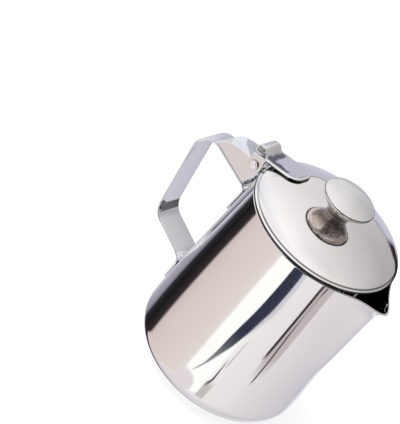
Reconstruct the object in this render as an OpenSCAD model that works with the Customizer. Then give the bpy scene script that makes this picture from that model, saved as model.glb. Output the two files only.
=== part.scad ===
// Small hot milk jug of polished stainless steel with a hinged, domed lid.
// Millimetres, +Z up. The origin is the centre of the flat base, on the axis of the body.
// +X points to the spout, -X to the handle and the hinge of the lid.

/* [Body] */
// Height of the body, from the table to the rim
body_h = 95; // [88:1:105]
// Outer radius of the rim
rim_r = 36.5; // [34:0.5:38.5]
// Outer radius of the belly, just above the rounded corner
belly_r = 40.8; // [39.5:0.1:43]
// Radius of the flat base that the jug stands on
base_r = 30; // [27:0.5:33]
// Height of the rounded corner between the base and the wall
corner_h = 10.3; // [7:0.1:12]
// Thickness of the steel of the body
wall = 0.8; // [0.6:0.1:1]

/* [Spout] */
// How far the tip of the spout stands out past the rim
spout_out = 9.8; // [6:0.1:11]
// The part of that reach that comes from the curled lip
lip_flare = 3.4; // [1:0.1:4]
// Height of the curled lip
flare_h = 7; // [4:0.5:10]
// Height over which the wall is pushed out to form the spout
spout_h = 75; // [60:1:75]
// How far the tip of the spout lies below the rim
lip_drop = 4.2; // [2:0.1:6]
// Width of the spout, where it stands out half as far as its ridge
spout_w = 13.2; // [10:0.2:18]

/* [Handle] */
// Width of the strip down the back of the handle
handle_w = 15; // [13:0.5:18]
// Width of the upper arm
arm_w = 14; // [13.6:0.2:15]
// How far in from the sides of the arm its two flanges stand
ledge = 0.5; // [0.3:0.1:0.7]
// Thickness of the strip
strip_t = 0.9; // [0.8:0.1:1.2]
// How far the top corner of the handle stands out past the rim
handle_out = 34.7; // [30:0.1:42]
// Depth below the rim at which the arm leaves the wall
arm_drop = 16; // [14:0.5:18]
// How much higher the arm ends than it starts
arm_rise = 5.8; // [4:0.1:7]
// Height above the table at which the lower run meets the wall
foot_z = 26.3; // [25.5:0.1:31]
// How far the back of the handle leans in towards its lower end
grip_lean = 6.5; // [3:0.1:9]
// How far the lower run falls on its way to the wall
foot_drop = 6.4; // [4:0.2:8]
// Height of the upper tab, which is welded to the wall
upper_tab_h = 14; // [10:0.5:16]
// Height of the lower tab, which is welded to the wall
lower_tab_h = 13; // [9:0.5:14]
// Bend radii of the strip: at the wall, the top corner, the bottom corner and the foot
wall_bend_r = 2.5; // [1.5:0.1:3]
// Bend radius of the top corner
top_bend_r = 9; // [6:0.5:11]
// Bend radius of the bottom corner
bottom_bend_r = 8; // [5:0.5:10]
// Bend radius where the lower run turns down the wall
foot_bend_r = 6; // [4:0.5:8]

/* [Hinge] */
// Distance of the pin behind the edge of the lid
pin_back = 4.2; // [4:0.1:5]
// Distance of the pin below the rim
pin_drop = 2.8; // [2.5:0.1:3.5]
// Radius of the pin
pin_r = 1.5; // [1.2:0.1:1.7]
// Radius of the rounded heads of the pin
head_r = 2.4; // [2.1:0.1:2.8]
// Height of the rounded heads of the pin
head_h = 1.1; // [0.8:0.1:1.4]
// Radius of the rounded ends of the flanges, round the pin
flange_r = 3.2; // [2.8:0.1:3.3]
// Width of the ears of the leaf, which hang outside the flanges
ear_w = 7; // [6.4:0.2:7.6]
// Thickness of the leaf
leaf_t = 0.9; // [0.8:0.1:1]
// How far the nose of the leaf reaches in over the lid
leaf_reach = 16; // [14:0.1:18]
// How far in from the edge of the lid the leaf rests on the dome
leaf_touch = 10; // [9:0.5:11]
// Radius of the rounded corners of the nose
nose_r = 5.5; // [3:0.1:6]
// Width of the thumb roll
thumb_w = 10.8; // [8:0.2:11]
// Height of the thumb roll above the leaf
thumb_h = 3.9; // [3.4:0.1:4.4]
// Length of the thumb roll
thumb_l = 7.6; // [6.6:0.2:8.4]
// Bend radius of the thumb roll, at the middle of the sheet
thumb_bend_r = 1.6; // [1.2:0.1:1.65]

/* [Lid] */
// How far the edge of the lid stands out past the rim
lid_over = 0.5; // [0.2:0.1:0.7]
// Height of the dome above its edge
dome_h = 8; // [6.6:0.2:9.4]
// Depth of the turned-down edge
edge_h = 0.7; // [0.5:0.1:1.2]
// Thickness of the steel of the lid
lid_t = 0.8; // [0.6:0.1:1]

/* [Knob] */
// Radius of the head of the knob
knob_r = 12.7; // [10.5:0.1:14]
// Height of the knob above the dome
knob_h = 12; // [11:0.2:15]
// Radius of the waist of the knob, where it stands on the lid
waist_r = 5.6; // [5.2:0.1:7]
// Height of the domed crown of the head
crown_h = 1.6; // [1:0.1:2.2]
// Height of the rim band of the head
band_h = 1.3; // [1:0.1:1.8]
// Thickness of the steel of the knob
knob_t = 0.8; // [0.6:0.1:1]
// Radius of the threaded stud inside the knob
stud_r = 3.4; // [3:0.1:3.8]
// Radius of the screw that holds the knob
screw_r = 1.95; // [1.6:0.05:2.2]
// Length of the screw below its head
screw_l = 9; // [7:0.5:10]
// Radius of the head of the screw
screw_head_r = 3.8; // [3.4:0.1:4.2]
// Height of the head of the screw
screw_head_h = 2.2; // [1.8:0.1:2.6]
// Radius of the washer under the head of the screw
washer_r = 5; // [4.6:0.1:6]
// Thickness of the washer
washer_t = 0.8; // [0.6:0.1:1]

/* [Clearances] */
// Gap between the edge of the lid and the rim
lid_gap = 0.3; // [0.2:0.05:0.4]
// Gap between pieces that lie against each other
seat_gap = 0.05; // [0.02:0.01:0.1]
// Gap round the pin in the ears of the leaf
pin_gap = 0.06; // [0.03:0.01:0.1]
// Gap round the pin in the flanges of the handle
pin_fit = 0.03; // [0.01:0.01:0.05]
// Gap between a flange of the handle and an ear of the leaf
side_gap = 0.2; // [0.1:0.05:0.3]
// Gap round the screw in the thread of the stud
thread_gap = 0.05; // [0.02:0.01:0.1]
// Gap round the screw in the lid and the washer
hole_gap = 0.3; // [0.2:0.05:0.4]

/* [Hidden] */

steel = [0.80, 0.80, 0.82];
steel_dark = [0.66, 0.67, 0.70];
steel_light = [0.88, 0.88, 0.90];

// Shares that shape the wall, the spout, the dome, the flanges and the knob
belly_share = 0.8;
spout_share = 1.24;
spout_foot_share = 0.5;
lip_share = 0.47;
dome_share = 0.7;
trumpet_share = 2.4;
taper_shares = [0.88, 0.97];
flange_shares = [0.7, 0.5, 0];
head_band_share = 0.3;
socket_shares = [0.42, 0.5];

// Steps of the curved outlines
corner_steps = 8;
wall_steps = 2;
body_steps = 84;
spout_steps = 13;
round_steps = 96;
dome_steps = 28;
bend_steps = 8;
arc_steps = 20;
// Degrees by which the radial lines of the body crowd towards the ridge of the spout
crowd = 28;
// How strongly the rings of the body crowd towards the lip
lip_crowd = 1.4;
overrun = 1;
// How far the ears stand proud of the sides of the leaf
ear_proud = 0.1;

// Heights and places that follow from the sizes
spout_z = body_h - spout_h;
tip_r = rim_r + spout_out;
half_a = spout_w / 2 / rim_r * 180 / PI;
lid_r = rim_r + lid_over;
edge_z = body_h + lid_gap + edge_h;
dome_top = edge_z + dome_h;
pin_x = -lid_r - pin_back;
pin_z = body_h - pin_drop;
arm_z = body_h - arm_drop;
corner_x = -rim_r - handle_out;
corner_z = arm_z + arm_rise;
heel_x = corner_x + grip_lean;
heel_z = foot_z + foot_drop;
flange_out = arm_w / 2 - ledge;
ear_in = flange_out + side_gap;
ear_out = ear_in + leaf_t;
leaf_side = ear_out - ear_proud;
knob_z = dome_top + knob_h;
band_z = knob_z - crown_h - band_h;
cap_under = knob_z - knob_t;

// Turns a list of points round
function reversed(list) = [for (i = [len(list) - 1:-1:0]) list[i]];

// A vector of length one
function unit(v) = v / norm(v);

// The points of an outline moved sideways by d, to the left of its direction
function beside(path, d) = [
    for (i = [0:len(path) - 1])
        let (t = unit(path[min(i + 1, len(path) - 1)] - path[max(i - 1, 0)]))
        path[i] + d * [-t.y, t.x]];

// A strip of thickness t along a line
function strip(path, t) = concat(beside(path, t / 2), reversed(beside(path, -t / 2)));

// Points along the arc of radius r round the point c, from the angle a to the angle b
function arc(c, r, a, b) = [
    for (i = [0:arc_steps])
        let (w = a + (b - a) * i / arc_steps) c + r * [cos(w), sin(w)]];

// The arc that rounds the corner b between a and c
function corner_arc(a, b, c, r) =
    let (u = unit(a - b), v = unit(c - b), half = acos(u * v) / 2,
         centre = b + unit(u + v) * r / sin(half),
         start = b + u * r / tan(half) - centre,
         turn = (u.x * v.y - u.y * v.x > 0 ? -1 : 1) * (180 - 2 * half))
    [for (i = [0:bend_steps])
        let (w = turn * i / bend_steps)
        centre + [start.x * cos(w) - start.y * sin(w), start.x * sin(w) + start.y * cos(w)]];

// A line through the points v, with a bend of its own radius at each inner point
function bent(v, radii) = [
    v[0],
    for (i = [1:len(v) - 2]) each corner_arc(v[i - 1], v[i], v[i + 1], radii[i - 1]),
    v[len(v) - 1]];

// Outer radius of the round wall at the height z
function wall_r(z) =
    z < corner_h
    ? base_r + (belly_r - base_r) * sqrt(1 - pow(1 - max(z, 0) / corner_h, 2))
    : let (t = (body_h - z) / (body_h - corner_h))
      rim_r + (belly_r - rim_r) * (t + belly_share * t * t * (1 - t));

// How far the ridge of the spout stands out past the wall at the height z. It rises softly
// from the wall at its foot and curls out at the lip.
function spout_push(z) =
    let (s = max(z - spout_z, 0) / spout_h, t = min(s / spout_foot_share, 1))
    (spout_out - lip_flare) * pow(s, spout_share) * t * t * (3 - 2 * t)
    + lip_flare * pow(max(z - body_h + flare_h, 0) / flare_h, 2);

// Share of the reach of the ridge that is left at the angle a from it: a rounded ridge whose
// flanks run out softly into the round wall, down to a half at the angle half_a
function flank(a) = let (x = exp(ln(2 + sqrt(3)) * a / half_a)) 2 / (x + 1 / x);

// Radius of the wall at the angle a from the ridge
function pushed_r(z, a) = wall_r(z) + spout_push(z) * flank(a);

// Height of the lip at the angle a: it dips towards the tip of the spout
function lip_z(a) = body_h - lip_drop * pow(flank(a), lip_share);

// Angle of the radial line i, from -180 to 180 degrees
function line_a(i) = let (v = 360 * i / body_steps - 180) v - crowd * sin(v);

// Height of the dome of the lid at the radius r
function dome_z(r) = edge_z + dome_h * pow(1 - pow(r / lid_r, 2), dome_share);

// Fall of the dome for each unit of radius, at the radius r
function dome_fall(r) =
    let (x = r / lid_r) 2 * dome_share * dome_h / lid_r * x * pow(1 - x * x, dome_share - 1);

// Radius of the trumpet of the knob at the share s of its height
function trumpet_r(s) =
    waist_r + (knob_r - knob_t - seat_gap - waist_r) * pow(sin(90 * s), trumpet_share);

// Outline of the round lower part: the rounded corner and the wall up to the spout
function low_outline() = concat(
    [for (i = [0:corner_steps])
        let (w = 90 * i / corner_steps)
        [base_r + (belly_r - base_r) * sin(w), corner_h * (1 - cos(w))]],
    [for (i = [1:wall_steps])
        let (z = corner_h + (spout_z - corner_h) * i / wall_steps) [wall_r(z), z]]);

// A level ring of points through the point p of an outline
function round_ring(p) = [
    for (i = [0:body_steps - 1]) let (a = line_a(i)) [p.x * cos(a), p.x * sin(a), p.y]];

// Share of the way from the foot of the spout to the lip at which ring k lies
function ring_share(k) = 1 - pow(1 - k / spout_steps, lip_crowd);

// A ring of the spout's part of the wall, at the share s of the way up to the lip. It lies
// on the outer face, or inside it by the share thin of the radius.
function mouth_ring(s, thin) = [
    for (i = [0:body_steps - 1])
        let (a = line_a(i), r = pushed_r(spout_z + spout_h * s, a) * (1 - thin))
        [r * cos(a), r * sin(a), spout_z + (lip_z(a) - spout_z) * s]];

// One closed skin: rings from the edge of the flat base up the outside, over the lip and
// down the inside, closed by the underside of the base and by the floor
module body_shell() {
    n = body_steps;
    low = low_outline();
    low_in = beside(low, wall);
    last = len(low) - 1;
    rings = concat(
        [for (p = low) round_ring(p)],
        [for (k = [1:spout_steps]) mouth_ring(ring_share(k), 0)],
        [for (k = [spout_steps:-1:1])
            let (s = ring_share(k)) mouth_ring(s, wall / wall_r(spout_z + spout_h * s))],
        [round_ring([low[last].x - wall, low[last].y])],
        [for (i = [last - 1:-1:1]) round_ring(low_in[i])],
        [round_ring([base_r, wall])]);
    points = [for (ring = rings) each ring];
    sides = [for (k = [0:len(rings) - 2], i = [0:n - 1])
        let (j = (i + 1) % n) [k * n + i, (k + 1) * n + i, (k + 1) * n + j, k * n + j]];
    underside = [for (i = [0:n - 1]) i];
    ground = [for (i = [n - 1:-1:0]) len(points) - n + i];
    color(steel) polyhedron(points, concat([underside], sides, [ground]));
}

// The line that the middle of the handle's strip follows, seen from the side
function handle_line() =
    let (off = seat_gap + strip_t / 2)
    bent([
        [-wall_r(arm_z - upper_tab_h) - off, arm_z - upper_tab_h],
        [-wall_r(arm_z) - off, arm_z],
        [corner_x, corner_z],
        [heel_x, heel_z],
        [-wall_r(foot_z) - off, foot_z],
        [-wall_r(foot_z - lower_tab_h) - off, foot_z - lower_tab_h]],
        [wall_bend_r, top_bend_r, bottom_bend_r, foot_bend_r]);

// One flange of the arm, seen from the side: it stands on the strip and ends round the pin
module flange_outline() {
    end_x = pin_x + flange_shares[0] * (corner_x - pin_x);
    root_x = -wall_r(arm_z) - strip_t;
    low = [for (p = beside(handle_line(), strip_t / 2))
        if (p.y > arm_z - strip_t && p.x < root_x - wall_bend_r && p.x > end_x) p];
    top = pin_z - flange_shares[2] * flange_r;
    start = low[len(low) - 1];
    crown_x = pin_x - flange_r;
    arch = [for (i = [0:bend_steps])
        let (w = 90 * i / bend_steps)
        [crown_x + (start.x - crown_x) * cos(w), start.y + (top - start.y) * sin(w)]];
    front_z = pin_z + flange_shares[1] * (arm_z - pin_z) + strip_t;
    difference() {
        polygon(concat(low, arch, arc([pin_x, pin_z], flange_r, 180, 0),
            [[pin_x + flange_r, front_z]]));
        translate([pin_x, pin_z]) circle(r = pin_r + pin_fit, $fn = round_steps);
    }
}

// Stands an outline, drawn seen from the side, up in the plane of the handle
module upright(thick, y) {
    translate([0, y + thick / 2, 0]) rotate([90, 0, 0]) linear_extrude(thick) children();
}

// One bent strip: welded tab, channel-shaped arm, back, lower run and welded tab
module handle() {
    reach = corner_x - strip_t - overrun;
    mid_z = arm_z - upper_tab_h - overrun;
    taper = [for (s = taper_shares) s * corner_x];
    color(steel_light) {
        intersection() {
            upright(handle_w, 0) polygon(strip(handle_line(), strip_t));
            union() {
                translate([reach, -handle_w / 2, 0]) cube([-reach, handle_w, mid_z]);
                translate([0, 0, mid_z]) linear_extrude(body_h - mid_z) polygon([
                    [0, arm_w / 2], [taper[0], arm_w / 2], [taper[1], handle_w / 2],
                    [reach, handle_w / 2], [reach, -handle_w / 2], [taper[1], -handle_w / 2],
                    [taper[0], -arm_w / 2], [0, -arm_w / 2]]);
            }
        }
        for (side = [-1, 1])
            upright(strip_t, side * (flange_out - strip_t / 2)) flange_outline();
    }
}

// A rivet with a rounded head at each end, held in the flanges
module hinge_pin() {
    side = ear_out + seat_gap;
    low_h = head_band_share * head_h;
    profile = concat([[0, 0], [head_r, 0]],
        [for (i = [0:bend_steps])
            let (w = 90 * i / bend_steps)
            [head_r * cos(w), low_h + (head_h - low_h) * sin(w)]]);
    color(steel_light) translate([pin_x, 0, pin_z]) {
        rotate([90, 0, 0]) cylinder(r = pin_r, h = 2 * side, center = true, $fn = round_steps);
        for (way = [-1, 1])
            translate([0, way * side, 0]) rotate([-90 * way, 0, 0])
                rotate_extrude($fn = round_steps) polygon(profile);
    }
}

// Where the leaf rests on the dome, and how steep it lies there
leaf_r = lid_r - leaf_touch;
leaf_a = atan(dome_fall(leaf_r));
leaf_seat = [-leaf_r, dome_z(leaf_r) + seat_gap];

// Distance along the leaf, from its seat back to the distance x from the axis
function leaf_s(x) = (x - leaf_r) / cos(leaf_a);

// A place on the leaf: s back from its seat and n above its underside
function leaf_point(s, n) =
    leaf_seat + s * [-cos(leaf_a), -sin(leaf_a)] + n * [-sin(leaf_a), cos(leaf_a)];

// One ear of the leaf, seen from the side: it hangs from the leaf and turns on the pin
module ear_outline() {
    difference() {
        polygon(concat(
            [leaf_point(leaf_s(-pin_x + ear_w / 2), leaf_t / 2)],
            arc([pin_x, pin_z], ear_w / 2, 180, 360),
            [leaf_point(leaf_s(-pin_x - ear_w / 2), leaf_t / 2)]));
        translate([pin_x, pin_z]) circle(r = pin_r + pin_gap, $fn = round_steps);
    }
}

// One stamped sheet: nose on the dome, two ears turned down and a rolled thumb piece,
// whose end stops just above the sheet
module hinge_leaf() {
    nose = -leaf_s(lid_r - leaf_reach);
    tail = leaf_s(-pin_x);
    back = leaf_s(-pin_x + ear_w / 2 + leaf_t) - leaf_t / 2;
    front = back - thumb_l + leaf_t;
    roll_n = thumb_h + leaf_t / 2;
    edge_n = overrun + thumb_h + leaf_t;
    sheet_line = bent([
        [nose, leaf_t / 2], [-back, leaf_t / 2], [-back, roll_n], [-front, roll_n],
        [-front, leaf_t + seat_gap]],
        [thumb_bend_r, thumb_bend_r, thumb_bend_r]);
    plan = concat(
        arc([nose - nose_r, nose_r - leaf_side], nose_r, -90, 0),
        arc([nose - nose_r, leaf_side - nose_r], nose_r, 0, 90),
        [[-tail, leaf_side], [-tail, thumb_w / 2], [-back - leaf_t, thumb_w / 2],
         [-back - leaf_t, -thumb_w / 2], [-tail, -thumb_w / 2], [-tail, -leaf_side]]);
    color(steel_light) {
        translate([leaf_seat.x, 0, leaf_seat.y]) rotate([0, -leaf_a, 0]) intersection() {
            upright(2 * (ear_out + overrun), 0) polygon(strip(sheet_line, leaf_t));
            translate([0, 0, -overrun]) linear_extrude(overrun + edge_n) polygon(plan);
        }
        for (side = [-1, 1])
            upright(leaf_t, side * (ear_in + leaf_t / 2)) ear_outline();
    }
}

// The pressed dome with its turned-down edge and the hole for the screw of the knob
module lid_shell() {
    outer = concat(
        [for (i = [0:dome_steps])
            let (w = 90 * i / dome_steps) [lid_r * sin(w), dome_z(lid_r * sin(w))]],
        [[lid_r, edge_z - edge_h]]);
    middle = beside(outer, -lid_t);
    inner = concat(
        [[0, dome_top - lid_t]],
        [for (i = [1:dome_steps]) middle[i]],
        [[lid_r - lid_t, edge_z - edge_h]]);
    color(steel) difference() {
        rotate_extrude($fn = round_steps) polygon(concat(outer, reversed(inner)));
        translate([0, 0, dome_top - lid_t - overrun])
            cylinder(r = screw_r + hole_gap, h = lid_t + 2 * overrun, $fn = round_steps);
    }
}

// The head of the knob: a pressed cap with a low crown and a turned-down rim band
module knob_cap() {
    crown = [for (i = [0:bend_steps])
        let (x = knob_r * i / bend_steps) [x, knob_z - crown_h * pow(x / knob_r, 2)]];
    under = [for (i = [0:bend_steps])
        let (x = (knob_r - knob_t) * i / bend_steps)
        [x, cap_under - crown_h * pow(x / knob_r, 2)]];
    color(steel_light) rotate_extrude($fn = round_steps)
        polygon(concat(crown, [[knob_r, band_z], [knob_r - knob_t, band_z]], reversed(under)));
}

// The trumpet under the head, whose wide end fits inside the rim band
module knob_skirt() {
    low = dome_z(waist_r - knob_t) + seat_gap;
    high = cap_under - crown_h - seat_gap;
    line = [for (i = [0:dome_steps])
        let (s = i / dome_steps) [trumpet_r(s), low + (high - low) * s]];
    inner = [for (p = line) [p.x - knob_t, p.y]];
    color(steel) rotate_extrude($fn = round_steps) polygon(concat(line, reversed(inner)));
}

// The threaded stud inside the knob, from the lid up to the head
module knob_stud() {
    low = dome_top + seat_gap;
    high = cap_under - crown_h * pow(stud_r / knob_r, 2) - seat_gap;
    bore = screw_l - lid_t - washer_t + overrun;
    color(steel_dark) difference() {
        translate([0, 0, low]) cylinder(r = stud_r, h = high - low, $fn = round_steps);
        translate([0, 0, low - overrun])
            cylinder(r = screw_r + thread_gap, h = bore + overrun, $fn = round_steps);
    }
}

// Where the washer lies against the inside of the dome, and where the screw head lies
washer_top = dome_z(washer_r) - lid_t - seat_gap;
screw_z = washer_top - washer_t - seat_gap;

module knob_washer() {
    color(steel_dark) translate([0, 0, washer_top - washer_t]) difference() {
        cylinder(r = washer_r, h = washer_t, $fn = round_steps);
        translate([0, 0, -overrun])
            cylinder(r = screw_r + hole_gap, h = washer_t + 2 * overrun, $fn = round_steps);
    }
}

// The screw that comes up through the washer and the lid into the stud
module knob_screw() {
    color(steel_dark) difference() {
        union() {
            translate([0, 0, screw_z]) cylinder(r = screw_r, h = screw_l, $fn = round_steps);
            translate([0, 0, screw_z - screw_head_h])
                cylinder(r = screw_head_r, h = screw_head_h, $fn = round_steps);
        }
        translate([0, 0, screw_z - screw_head_h - overrun])
            cylinder(r = socket_shares[0] * screw_head_r,
                h = socket_shares[1] * screw_head_h + overrun, $fn = 6);
    }
}

body_shell();
handle();
hinge_pin();
hinge_leaf();
lid_shell();
knob_cap();
knob_skirt();
knob_stud();
knob_screw();
knob_washer();
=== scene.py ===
import math

import bmesh
import bpy
from mathutils import Matrix, Vector


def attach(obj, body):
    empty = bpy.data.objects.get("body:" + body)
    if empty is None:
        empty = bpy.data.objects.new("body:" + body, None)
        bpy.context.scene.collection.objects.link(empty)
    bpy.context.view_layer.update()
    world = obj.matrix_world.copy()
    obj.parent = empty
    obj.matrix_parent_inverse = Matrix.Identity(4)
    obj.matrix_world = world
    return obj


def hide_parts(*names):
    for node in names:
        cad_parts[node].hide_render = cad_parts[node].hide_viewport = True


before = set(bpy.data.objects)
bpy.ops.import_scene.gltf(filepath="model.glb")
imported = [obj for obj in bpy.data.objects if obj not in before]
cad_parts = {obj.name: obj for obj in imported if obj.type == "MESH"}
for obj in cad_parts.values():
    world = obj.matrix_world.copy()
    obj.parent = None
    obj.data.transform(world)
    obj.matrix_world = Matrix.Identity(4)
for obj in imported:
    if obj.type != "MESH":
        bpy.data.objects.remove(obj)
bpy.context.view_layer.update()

# The place the jug stands in: a plain white table top that runs on out of sight. It is kept
# out of the steel's reflections, which show the studio all round, also from below.
scene = bpy.context.scene
scene.view_settings.view_transform = "Standard"
table_size = 8.0
table_gap = 0.0002
paper_grey = 0.30
paper_glow = 0.80
paper_bounce = 0.80


def put(tree, kind, links=(), **settings):
    """Adds a node. links pairs an input's name or number with a value or another's output."""
    made = tree.nodes.new(kind)
    for name, value in settings.items():
        setattr(made, name, value)
    for socket, value in links:
        if isinstance(value, bpy.types.NodeSocket):
            tree.links.new(value, made.inputs[socket])
        else:
            made.inputs[socket].default_value = value
    return made


def sums(tree, operation, *values):
    """A Math node's output."""
    return put(tree, "ShaderNodeMath", list(enumerate(values)), operation=operation).outputs[0]


def bare_material(name):
    """A new material with nothing in its node tree."""
    made = bpy.data.materials.new(name)
    made.use_nodes = True
    made.node_tree.nodes.clear()
    return made


half = table_size / 2
table_mesh = bpy.data.meshes.new("table_top")
table_corners = [(-half, -half, 0), (half, -half, 0), (half, half, 0), (-half, half, 0)]
table_mesh.from_pydata(table_corners, [], [(0, 1, 2, 3)])
table_top = bpy.data.objects.new("table_top", table_mesh)
table_top.location.z = -table_gap
scene.collection.objects.link(table_top)
paper = bare_material("white_paper")
tree = paper.node_tree
matt = put(tree, "ShaderNodeBsdfDiffuse", [("Color", (paper_grey, paper_grey, paper_grey, 1))])
glow = put(tree, "ShaderNodeEmission", [("Color", (1, 1, 1, 1)), ("Strength", paper_glow)])
dull = put(tree, "ShaderNodeBsdfDiffuse", [("Color", (paper_bounce, paper_bounce, paper_bounce, 1))])
both = put(tree, "ShaderNodeAddShader", [(0, matt.outputs[0]), (1, glow.outputs[0])])
path = put(tree, "ShaderNodeLightPath")
seen = sums(tree, "MAXIMUM", path.outputs["Is Camera Ray"], path.outputs["Is Glossy Ray"])
seen = sums(tree, "MAXIMUM", seen, path.outputs["Is Transmission Ray"])
pick = put(tree, "ShaderNodeMixShader", [(0, seen), (1, dull.outputs[0]), (2, both.outputs[0])])
put(tree, "ShaderNodeOutputMaterial", [("Surface", pick.outputs[0])])
table_mesh.materials.append(paper)
table_top.visible_glossy = False

# The studio: white screens and soft boxes all round, black edges and a dark blue curtain
# between them, and the dark room behind the camera. Directions are in degrees: turn goes
# round the jug from where the camera stands, and rise goes up from the table.
camera_side = math.radians(-69.0)
steel_gain = 1.13
world = bpy.data.worlds.new("studio")
scene.world = world
world.use_nodes = True
studio = world.node_tree
studio.nodes.clear()
where = put(studio, "ShaderNodeTexCoord").outputs["Generated"]
where = put(studio, "ShaderNodeVectorRotate",
            [("Vector", where), ("Axis", (0, 0, 1)), ("Angle", -camera_side)],
            rotation_type="AXIS_ANGLE").outputs["Vector"]
across, away, up = put(studio, "ShaderNodeSeparateXYZ", [(0, where)]).outputs
turn = sums(studio, "MULTIPLY", sums(studio, "ARCTAN2", away, across), 180 / math.pi)
rise = sums(studio, "MULTIPLY", sums(studio, "ARCSINE", up), 180 / math.pi)


def between(tree, value, low, high, start=0.0, end=1.0, soft=False):
    """Maps a value from low..high to start..end, held at both ends."""
    if low > high:
        low, high, start, end = high, low, end, start
    return put(tree, "ShaderNodeMapRange",
               [("Value", value), ("From Min", low), ("From Max", high),
                ("To Min", start), ("To Max", end)],
               interpolation_type="SMOOTHSTEP" if soft else "LINEAR").outputs["Result"]


def window(tree, value, low, high, soft):
    """1 where the value lies between low and high, which may be other values; 0 outside."""
    above = between(tree, sums(tree, "SUBTRACT", value, low), -soft, soft)
    below = between(tree, sums(tree, "SUBTRACT", value, high), soft, -soft)
    return sums(tree, "MULTIPLY", above, below)


def blend(tree, factor, first, second):
    """Mixes two colours: inputs 6 and 7 of a Mix node, with the mixed one at output 2."""
    return put(tree, "ShaderNodeMix", [(0, factor), (6, first), (7, second)], data_type="RGBA").outputs[2]


def ramp(value, stops):
    """A colour ramp in the studio's light, through (position, colour) stops."""
    made = put(studio, "ShaderNodeValToRGB", [("Fac", value)])
    points = made.color_ramp.elements
    points[0].position, points[0].color = stops[0]
    points[1].position, points[1].color = stops[-1]
    for position, color in stops[1:-1]:
        points.new(position).color = color
    return made.outputs["Color"]


def course(value, points):
    """A value of the studio that runs straight from one (value, result) point to the next."""
    first, last = points[0][0], points[-1][0]
    low, high = min(r for _, r in points), max(r for _, r in points)
    stops = [((v - first) / (last - first), (*[(r - low) / (high - low)] * 3, 1)) for v, r in points]
    return between(studio, ramp(between(studio, value, first, last), stops), 0, 1, low, high)


def light(red, green, blue):
    """The light that is seen in the steel as this colour, 0 to 255."""
    def linear(c):
        c = c / 255
        return steel_gain * (c / 12.92 if c <= 0.04045 else ((c + 0.055) / 1.055) ** 2.4)
    return (linear(red), linear(green), linear(blue), 1.0)


def tones(value, stops):
    """The light at each direction round the jug, from (degrees, red, green, blue)."""
    return ramp(between(studio, value, -180, 180),
                [((a + 180) / 360, light(r, g, b)) for a, r, g, b in stops])


def laid(mask, under, red, green, blue):
    """Lays a colour over another where the mask is 1."""
    return blend(studio, mask, under, light(red, green, blue))


# Low down, seen in the wall of the body: the screens lean in, so their edges swing round
lean = between(studio, rise, -38, -60, 0, 40)
swung = sums(studio, "WRAP", sums(studio, "ADD", turn, lean), -180, 180)
low = tones(swung, [
    (-180, 190, 189, 195), (-165, 200, 198, 205), (-152, 164, 161, 175), (-136, 151, 149, 162),
    (-130, 118, 116, 124), (-127, 46, 45, 49), (-113, 25, 25, 27), (-101, 44, 39, 40),
    (-96, 58, 50, 50), (-92, 204, 191, 189), (-80, 213, 200, 197), (-50, 220, 207, 201),
    (-34, 222, 211, 206), (-25, 226, 218, 214), (-22.2, 255, 255, 252), (6, 255, 255, 252),
    (12, 238, 234, 234), (24, 233, 229, 230), (44, 230, 226, 228), (66, 221, 216, 218),
    (88, 214, 210, 213), (107, 207, 203, 208), (126, 202, 198, 206), (140, 190, 188, 197),
    (150, 204, 203, 210), (160, 235, 234, 238), (170, 220, 219, 225), (180, 190, 189, 195)])
# The white screen ends above the table: below it a pale veil
veil_left = course(rise, [(-60, -72), (-38, -30), (-36, -30)])
veil_right = course(rise, [(-60, -6), (-38.5, -1), (-37.2, -3), (-36.6, -8), (-36.2, -24)])
veil = sums(studio, "MULTIPLY", window(studio, turn, veil_left, veil_right, 1.5),
            between(studio, rise, -36.1, -36.7))
low = laid(veil, low, 224, 216, 218)
# The curtain with a pale fold beside it: it draws in and swings to the left low down
left_edge = course(rise, [
    (-36.4, -15.5), (-35.5, -13.0), (-34.2, -8.5), (-32.6, -6.0), (-31.1, -5.0), (-30, -3.2),
    (-29.2, -1.0), (-28, 1.0)])
right_edge = course(rise, [
    (-36.4, -15.5), (-35.5, -11.5), (-34.2, -6.0), (-32.9, -1.1), (-31.7, 4.2), (-30.7, 7.5),
    (-29.8, 11), (-29.2, 14.5), (-28, 18)])
fold_edge = sums(studio, "ADD", right_edge, between(studio, rise, -30.6, -29.3, 0, 6))
low = laid(window(studio, turn, right_edge, fold_edge, 0.5), low, 205, 203, 212)
curtain = sums(studio, "MULTIPLY", window(studio, turn, left_edge, right_edge, 0.6),
               between(studio, rise, -36.5, -36.2))
curtain = sums(studio, "MULTIPLY", curtain, between(studio, rise, -34.5, -30.5, 0.75, 1))
low = laid(curtain, low, 50, 54, 71)
# A screen on a stand: its grey side between two black edges, the second one slanting
panel = sums(studio, "MULTIPLY", window(studio, turn, 46.5, 61.5, 0.6),
             between(studio, rise, -33.6, -31.6))
low = laid(panel, low, 190, 180, 182)
near_edge = sums(studio, "MULTIPLY", window(studio, turn, 43.8, 47.4, 0.5),
                 between(studio, rise, -31.9, -31.3))
low = laid(near_edge, low, 62, 58, 59)
slant = course(rise, [(-34.3, 54.2), (-33.3, 54.2), (-32, 53.6), (-30, 51.4), (-29, 50)])
far_edge = window(studio, turn, sums(studio, "SUBTRACT", slant, 1.0),
                  sums(studio, "ADD", slant, 0.9), 0.5)
far_edge = sums(studio, "MULTIPLY", far_edge, window(studio, rise, -34.0, -29.7, 0.4))
low = laid(far_edge, low, 74, 67, 66)
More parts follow.
